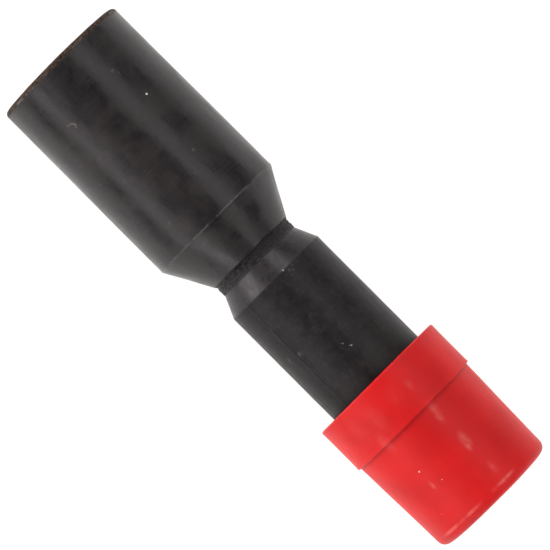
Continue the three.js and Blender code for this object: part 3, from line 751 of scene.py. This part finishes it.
def neck_flash():
    """Whiskers of moulding flash that cling in the neck groove."""
    verts, faces = [], []

    def tuft(s, a, length, width, height, lean, seed):
        base = len(verts)
        n = 7
        for i in range(n):
            t = i / (n - 1)
            ang = a + (t - 0.5) * length / NECK_R
            w = width * math.sin(math.pi * min(max(t, 0.03), 0.97)) * (0.7 + 0.5 * noise.noise(Vector((seed, i * 0.9, 0))))
            h = height * math.sin(math.pi * min(max(t, 0.06), 0.94)) * (0.8 + 0.6 * noise.noise(Vector((seed, 0, i * 0.7))))
            c = s + lean * (t - 0.5)
            for ds, dr in ((-w / 2, -0.12), (w / 2, -0.12), (w * 0.18, h), (-w * 0.18, h)):
                rr = NECK_R - 0.02 + dr
                verts.append((X0 + (c + ds) * MM, YC + rr * math.cos(ang) * MM, ZC + rr * math.sin(ang) * MM))
        for i in range(n - 1):
            p, q = base + 4 * i, base + 4 * (i + 1)
            for k in range(4):
                faces.append((p + k, p + (k + 1) % 4, q + (k + 1) % 4, q + k))
        faces.append((base, base + 1, base + 2, base + 3))
        e = base + 4 * (n - 1)
        faces.append((e + 3, e + 2, e + 1, e))

    for i in range(30):
        u = (i * 0.61803 + 0.13) % 1.0
        v = (i * 0.75487 + 0.31) % 1.0
        w = (i * 0.56984 + 0.57) % 1.0
        s = COIL_END + 0.12 + (PLUG_START - COIL_END - 0.24) * (0.12 if v < 0.4 else 0.88 if v > 0.72 else v)
        tuft(s, u * TAU, 0.7 + 1.6 * w, 0.10 + 0.12 * v, 0.05 + 0.14 * w * w, 0.35 * (v - 0.5), i * 1.7)
    # a thicker knot of them on the upper side
    for ds, a, length, lean in ((0.40, 1.90, 2.3, 0.30), (0.26, 1.70, 1.3, -0.25), (0.85, 2.00, 1.8, -0.60), (0.95, 1.82, 1.5, 0.55), (0.55, 1.60, 1.2, 0.4), (0.62, 2.16, 1.4, 0.2)):
        tuft(COIL_END + ds, a, length, 0.13, 0.12, lean, 40 + 9 * ds)
    return make_object("neck_flash", verts, faces)


sleeve = dress(coil_boot(), M_COIL, "boot", "boot_rubber", "coil_boot")
sleeve.data.materials.append(rubber_rim())
for f in sleeve.data.polygons:
    if f.center.x < X0 + (FACE + 0.95) * MM:
        f.material_index = 1
dress(plug_boot(), M_PLUG, "boot", "plug_boot_rubber", "plug_boot")
dress(insulator_tube(), M_RESIN, "boot", "insulator_resin", "insulator_tube")
dress(neck_flash(), flash(), "boot", "boot_rubber")


# ------------------------------------------------------------------ the red cap
def cap():
    body_r0, body_r1 = CAP_R - 0.48, CAP_R - 0.98
    floor_s = CAP_END - 1.7
    c = [(CAP_END - 0.35, 0.0), (CAP_END - 0.35, 2.6, 0.25), (CAP_END, 3.1, 0.25), (CAP_END, body_r1, 1.5), (CAP_STEP, body_r0, 0.10)]
    c += [(CAP_STEP, CAP_R, 0.14), (CAP_STEP - 0.9, CAP_R - 0.06, 0.2), (CAP_START + 2.0, CAP_R - 0.05, 0.5), (CAP_START, CAP_R, 0.36), (CAP_START, 11.3, 0.2), (CAP_STEP, 10.75, 0.6), (floor_s, 10.25, 0.7), (floor_s, 0.0)]
    ribs = [(i + 0.5) * TAU / 6 + math.pi / 2 for i in range(6)]
    extra = [a + w for a in ribs for w in (-0.075, -0.06, -0.05, -0.042, -0.034, -0.02, 0.02, 0.034, 0.042, 0.05, 0.06, 0.075)]

    def bump(s, a, r):
        y, z = math.cos(a), math.sin(a)
        if r < 11.45 and s < floor_s + 0.1:
            # six grip ribs run down the inside
            if r > 9.8 and s > CAP_STEP + 1.0:
                h = max(ridge(away(a, q), 0.058) for q in ribs)
                h = min(1.0, h * 2.2)
                return h * (r - 10.02) * min(1.0, (s - CAP_STEP - 1.0) / 2.0)
            return 0.0
        d = 0.05 * fractal(s * 0.09, y * 1.1, z * 1.1, 2, 21.0) + 0.016 * fractal(s * 0.5, y * 3.5, z * 3.5, 2, 17.0)
        if s < CAP_START + 0.5:
            d += 0.03 * fractal(0, y * 5, z * 5, 2, 33.0)
        # a faint ring where the rounded corner meets the wall
        d += 0.03 * ridge(s - (CAP_END - 2.1), 0.35) if r > 9 else 0.0
        return d

    def shift(s, a, r):
        """The mouth isn't trimmed quite square: it reaches farther along the top."""
        lean = 0.34 - 0.22 * smooth(s, CAP_START, CAP_STEP) - 0.12 * smooth(s, CAP_STEP, CAP_STEP + 7)
        return -lean * math.sin(a)

    return lathe("red_cap", c, closed=False, seg=216, step=0.55, extra=extra, bump=bump, shift=shift)


def cap_gate():
    """The stub where the plastic was cut from its runner, in the dimple on the cap's end."""
    e = CAP_END - 0.35
    c = [(e - 0.3, 0.0), (e - 0.3, 0.75), (e + 0.16, 0.62, 0.06), (e + 0.22, 0.28, 0.05), (e + 0.14, 0.0)]
    return lathe("cap_gate", c, closed=False, seg=40, step=0.12, bump=lambda s, a, r: 0.03 * fractal(s * 3, math.cos(a) * 2, math.sin(a) * 2, 3, 2.0) if s > e else 0.0)


dress(cap(), M_RED, "cap", "cap_plastic", "protective_cap")
dress(cap_gate(), M_RED, "cap", "cap_plastic")

# ------------------------------------------------------------------ coil end, inside
seal_s = 19.9
dress(lathe("tower_seal_ring", [(seal_s, 7.3, 0.25), (seal_s, 9.1, 0.45), (21.85, 9.1, 0.15), (21.85, 6.6, 0.15), (seal_s + 0.35, 6.6, 0.2)],
            seg=144, step=0.35, bump=lambda s, a, r: 0.02 * fractal(s, math.cos(a) * 4, math.sin(a) * 4, 2, 4.0)),
      M_SEAL, "boot", "seal_rubber", "tower_seal")


def guide():
    b = 1.95
    c = [(19.0, b + 0.35, 0.12), (19.0, 5.1, 0.35), (20.2, 5.1, 0.12), (20.2, 3.05, 0.1)]
    s = 20.9
    while s < 25.2:                                     # a rolled thread that bites in the tube's bore
        c += [(s, 2.92, 0.04), (s + 0.25, 3.2, 0.05), (s + 0.5, 2.92, 0.04)]
        s += 0.7
    c += [(26.0, 2.9, 0.15), (26.0, b, 0.12), (19.35, b, 0.1)]
    o = lathe("plunger_guide_bush", c, seg=120, step=0.35)
    # two flats for a spanner and a slot across the flange
    cutters = []
    for y in (-1, 1):
        bm = bmesh.new()
        bmesh.ops.create_cube(bm, size=1.0)
        bmesh.ops.bevel(bm, geom=bm.edges[:], offset=0.03, segments=2, affect="EDGES")
        bmesh.ops.scale(bm, vec=(2.4 * MM, 1.5 * MM, 12 * MM), verts=bm.verts)
        bmesh.ops.translate(bm, vec=(X0 + 18.9 * MM, YC + y * 5.15 * MM, ZC), verts=bm.verts)
        me = bpy.data.meshes.new("cut")
        bm.to_mesh(me)
        bm.free()
        cutters.append(bpy.data.objects.new("cut", me))
    return cut(o, cutters)


def cut(o, cutters):
    for q in cutters:
        bpy.context.scene.collection.objects.link(q)
        m = o.modifiers.new("cut", "BOOLEAN")
        m.operation, m.solver, m.object = "DIFFERENCE", "EXACT", q
    dg = bpy.context.evaluated_depsgraph_get()
    me = bpy.data.meshes.new_from_object(o.evaluated_get(dg))
    o.modifiers.clear()
    old = o.data
    o.data = me
    me.name = o.name
    bpy.data.meshes.remove(old)
    for q in cutters:
        data = q.data
        bpy.data.objects.remove(q)
        bpy.data.meshes.remove(data)
    bm = bmesh.new()
    bm.from_mesh(o.data)
    bmesh.ops.remove_doubles(bm, verts=bm.verts, dist=2e-7)
    bmesh.ops.dissolve_degenerate(bm, edges=bm.edges, dist=2e-7)
    for e in bm.edges:
        if len(e.link_faces) == 2 and e.calc_face_angle(0) > math.radians(32):
            e.smooth = False
    for f in bm.faces:
        f.smooth = True
    bm.to_mesh(o.data)
    bm.free()
    return o


dress(guide(), M_NICKEL, "boot", "nickel_plate", "plunger_guide")
dress(lathe("contact_plunger_pin", [(14.5, 0.0), (14.52, 0.45), (14.85, 1.15), (15.7, 1.65, 0.5), (26.3, 1.65, 0.08), (26.3, 2.8, 0.15), (28.3, 2.8, 0.15), (28.3, 1.2, 0.1), (34.0, 1.2, 0.35), (34.0, 0.0)],
            closed=False, seg=96, step=0.35),
      M_BRASS, "plunger", "brass", "contact_plunger")


def spring():
    lo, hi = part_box("contact_spring")
    s0, s1 = st(lo.x), st(hi.x)
    wire, mean, turns = 0.35, 2.3, 8
    path, n = [], turns * 40
    for i in range(n + 1):
        t = i / n
        a = t * turns * TAU
        e, dead = 1 / turns, 0.05
        if t < e:
            u = dead * t / e
        elif t > 1 - e:
            u = 1 - dead * (1 - t) / e
        else:
            u = dead + (1 - 2 * dead) * (t - e) / (1 - 2 * e)
        s = s0 + wire + u * (s1 - s0 - 2 * wire)
        path.append((X0 + s * MM, YC - mean * math.sin(a) * MM, ZC + mean * math.cos(a) * MM))
    o = sweep("contact_spring_coil", path, wire * MM, 14)
    dress(o, M_WIRE, "boot", "spring_steel", "contact_spring")
    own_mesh(o)
    return o


spring()
dress(lathe("spring_seat_disc", [(43.0, 0.0), (43.0, 1.4, 0.45), (45.3, 1.4, 0.1), (45.3, 2.9, 0.2), (46.6, 2.9, 0.2), (46.6, 0.0)], closed=False, seg=96, step=0.3),
      M_BRASS, "boot", "brass", "spring_seat")


# ------------------------------------------------------------------ resistor
def res_cap(name, face, d):
    at = lambda x: face + d * x
    c = [(at(0.12), 0.0), (at(0.12), 1.1, 0.2), (at(0.0), 1.35, 0.15), (at(0.0), 2.9, 0.45), (at(2.6), 2.9, 0.08), (at(2.6), 2.3, 0.08), (at(0.5), 2.3, 0.2), (at(0.5), 0.0)]

    def bump(s, a, r):
        t = (s - face) * d
        return -0.09 * ridge(t - 1.5, 0.35) if r > 2.6 else 0.0     # the crimp that holds the cap on the rod

    return lathe(name, c, closed=False, seg=96, step=0.18, bump=bump)


dress(res_cap("resistor_end_coil_side", 46.9, 1), M_NICKEL, "boot", "nickel_plate", "resistor_cap_coil_side")
dress(res_cap("resistor_end_plug_side", 65.1, -1), M_NICKEL, "boot", "nickel_plate", "resistor_cap_plug_side")
dress(lathe("resistor_rod", [(47.7, 0.0), (47.7, 2.0, 0.3), (64.3, 2.0, 0.3), (64.3, 0.0)], closed=False, seg=96, step=0.4,
            bump=lambda s, a, r: 0.015 * fractal(s * 1.5, math.cos(a) * 2, math.sin(a) * 2, 3, 1.0)),
      M_CERAMIC, "boot", "ceramic", "resistor_core")
wind = [(49.8, 2.28, 0.05)]
k_turns = 40
for i in range(k_turns):
    a0, a1 = 49.8 + 12.4 * i / k_turns, 49.8 + 12.4 * (i + 1) / k_turns
    wind += [(a0 + 0.012, 2.56, 0.0), ((a0 + a1) / 2, 2.73, 0.11)]
wind += [(62.2, 2.56, 0.0), (62.2, 2.28, 0.05)]
dress(lathe("resistor_wire_turns", wind, seg=80, step=0.8), M_RESIST, "boot", "resistance_wire", "resistor_winding")

# ------------------------------------------------------------------ plug end, inside
dress(lathe("terminal_disc_plate", [(65.4, 0.0), (65.4, 2.7, 0.2), (66.4, 2.7, 0.1), (66.4, 4.6, 0.15), (67.0, 4.6, 0.15), (67.0, 0.0)], closed=False, seg=96, step=0.35),
      M_BRASS, "boot", "brass", "terminal_disc")


def terminal():
    c = [(67.3, 0.0), (67.3, 4.7, 0.15), (68.5, 4.7, 0.2), (68.5, 4.2, 0.15), (73.6, 4.2, 0.06), (73.6, 3.75, 0.06), (75.4, 3.75, 0.06), (75.4, 4.2, 0.06)]
    c += [(78.6, 4.2, 0.25), (78.6, 3.7, 0.15), (77.8, 3.3, 0.3), (69.2, 3.3, 0.4), (69.2, 0.0)]
    o = lathe("plug_terminal_socket", c, closed=False, seg=128, step=0.45)
    cutters = []
    for ang in (math.pi / 4, 3 * math.pi / 4):
        bm = bmesh.new()
        bmesh.ops.create_cube(bm, size=1.0)
        bmesh.ops.scale(bm, vec=(9 * MM, 0.8 * MM, 12 * MM), verts=bm.verts)
        bmesh.ops.translate(bm, vec=((70.9 + 4.5) * MM, 0, 0), verts=bm.verts)
        bmesh.ops.rotate(bm, cent=(0, 0, 0), matrix=Matrix.Rotation(ang, 3, "X"), verts=bm.verts)
        bmesh.ops.translate(bm, vec=(X0, YC, ZC), verts=bm.verts)
        me = bpy.data.meshes.new("cut")
        bm.to_mesh(me)
        bm.free()
        cutters.append(bpy.data.objects.new("cut", me))
    return cut(o, cutters)


dress(terminal(), M_BRASS, "boot", "brass", "plug_terminal")
clip = []
for i in range(97):
    a = math.pi / 4 + (i / 96) * (TAU - math.pi / 2)
    clip.append((X0 + 74.5 * MM, YC + 4.42 * math.sin(a) * MM, ZC + 4.42 * math.cos(a) * MM))
dress(sweep("terminal_clip_ring", clip, 0.33 * MM, 16), M_WIRE, "boot", "spring_steel", "terminal_clip")
dress(lathe("terminal_retainer_ring", [(78.9, 3.9, 0.1), (78.9, 4.85, 0.15), (80.15, 4.85, 0.15), (80.15, 3.95, 0.25)], seg=112, step=0.3),
      M_NICKEL, "boot", "nickel_plate", "terminal_retainer")


# ------------------------------------------------------------------ floor, light
def floor():
    me = bpy.data.meshes.new("floor")
    bm = bmesh.new()
    bmesh.ops.create_grid(bm, x_segments=2, y_segments=2, size=50.0)
    bmesh.ops.translate(bm, vec=(0, 0, cad_lo.z - 0.00005), verts=bm.verts)
    bm.to_mesh(me)
    bm.free()
    o = bpy.data.objects.new("floor", me)
    bpy.context.scene.collection.objects.link(o)
    m = bpy.data.materials.new("floor")
    m.use_nodes = True
    b = m.node_tree.nodes["Principled BSDF"]
    b.inputs["Base Color"].default_value = (0.36, 0.36, 0.36, 1)
    b.inputs["Roughness"].default_value = 0.9
    b.inputs["Specular IOR Level"].default_value = 0.0
    b.inputs["Emission Color"].default_value = (1.0, 0.985, 0.965, 1)
    b.inputs["Emission Strength"].default_value = 0.86
    o.data.materials.append(m)
    return o


floor()


def softbox(name, target, direction, distance, width, length, radiance, color=(1, 1, 1), along=(1, 0, 0)):
    """A rectangular light whose long side runs along a given direction."""
    d = bpy.data.lights.new(name, "AREA")
    d.shape = "RECTANGLE"
    d.size, d.size_y = length, width
    d.energy = radiance * width * length * math.pi
    d.color = color
    o = bpy.data.objects.new(name, d)
    bpy.context.scene.collection.objects.link(o)
    z = Vector(direction).normalized()
    x = (Vector(along) - z * z.dot(Vector(along))).normalized()
    y = z.cross(x)
    o.matrix_world = Matrix.Translation(Vector(target) + z * distance) @ Matrix((x, y, z)).transposed().to_4x4()
    o.visible_camera = False
    return o


def from_vertical(side, tilt=0.0, out=0.0):
    """Direction leaning side degrees from straight up towards +Y, and out degrees towards +X."""
    a, b = math.radians(side), math.radians(out)
    v = Vector((math.sin(b), math.sin(a) * math.cos(b), math.cos(a) * math.cos(b)))
    return v


ROSE = (1.0, 0.95, 0.96)
softbox("key_left", MIDDLE, from_vertical(-62), 0.75, 0.25, 3.4, 2.45, (1.0, 0.945, 0.96))
softbox("key_roll", MIDDLE, from_vertical(-47), 0.76, 0.20, 3.4, 0.95, ROSE)
softbox("key_wrap", MIDDLE, from_vertical(-28), 0.77, 0.32, 3.4, 0.40, ROSE)
softbox("fill_right", MIDDLE, from_vertical(27), 0.75, 0.20, 3.4, 1.95, (1.0, 0.95, 0.955))
softbox("fill_edge", MIDDLE, from_vertical(41), 0.76, 0.13, 3.4, 1.75, ROSE)
softbox("fill_wrap", MIDDLE, from_vertical(60), 0.77, 0.32, 3.4, 0.35, ROSE)
# boxes farther along, which the cone and the flare reflect
softbox("key_far", MIDDLE, (0.77, -0.59, 0.26), 0.9, 0.32, 0.42, 1.2, (1.0, 0.95, 0.93), along=(0, 0, 1))
softbox("fill_far", MIDDLE, (0.83, 0.335, 0.45), 0.9, 0.26, 0.42, 0.45, (1.0, 0.97, 0.90), along=(0, 0, 1))
softbox("key_near", MIDDLE, (-0.67, -0.65, 0.34), 0.9, 0.36, 0.50, 5.2, ROSE, along=(0, 0, 1))
softbox("fill_near", MIDDLE, (-0.71, 0.42, 0.56), 0.9, 0.26, 0.42, 3.9, ROSE, along=(0, 0, 1))
softbox("end_fill", MIDDLE, from_vertical(0, out=-52), 0.9, 0.55, 0.9, 0.3, (1.0, 0.95, 0.95), along=(0, 1, 0))
softbox("warm_low", MIDDLE, Vector((-1.0, 0.0, 0.22)), 0.8, 0.25, 0.5, 0.7, (1.0, 0.86, 0.76), along=(0, 1, 0))

world = bpy.data.worlds.new("studio")
bpy.context.scene.world = world
world.use_nodes = True
bg = world.node_tree.nodes["Background"]
bg.inputs["Strength"].default_value = 1.0
wt = world.node_tree
w_co = wt.nodes.new("ShaderNodeTexCoord")
w_xyz = wt.nodes.new("ShaderNodeSeparateXYZ")
w_map = wt.nodes.new("ShaderNodeMapRange")
w_mix = wt.nodes.new("ShaderNodeMix")
w_mix.data_type = "RGBA"
w_map.interpolation_type = "SMOOTHSTEP"
w_map.inputs[1].default_value, w_map.inputs[2].default_value = 0.025, 0.06     # the sine of the height above the horizon
wt.links.new(w_co.outputs["Generated"], w_xyz.inputs[0])
wt.links.new(w_xyz.outputs[2], w_map.inputs[0])
wt.links.new(w_map.outputs[0], w_mix.inputs[0])
w_mix.inputs[6].default_value = (0.87, 0.858, 0.84, 1)                          # as pale as the floor's far end
w_mix.inputs[7].default_value = (0.09, 0.0885, 0.088, 1)
wt.links.new(w_mix.outputs[2], bg.inputs["Color"])

scene = bpy.context.scene
scene.view_settings.view_transform = "Standard"
scene.view_settings.look = "None"
scene.view_settings.exposure = 0.0
scene.view_settings.gamma = 1.0
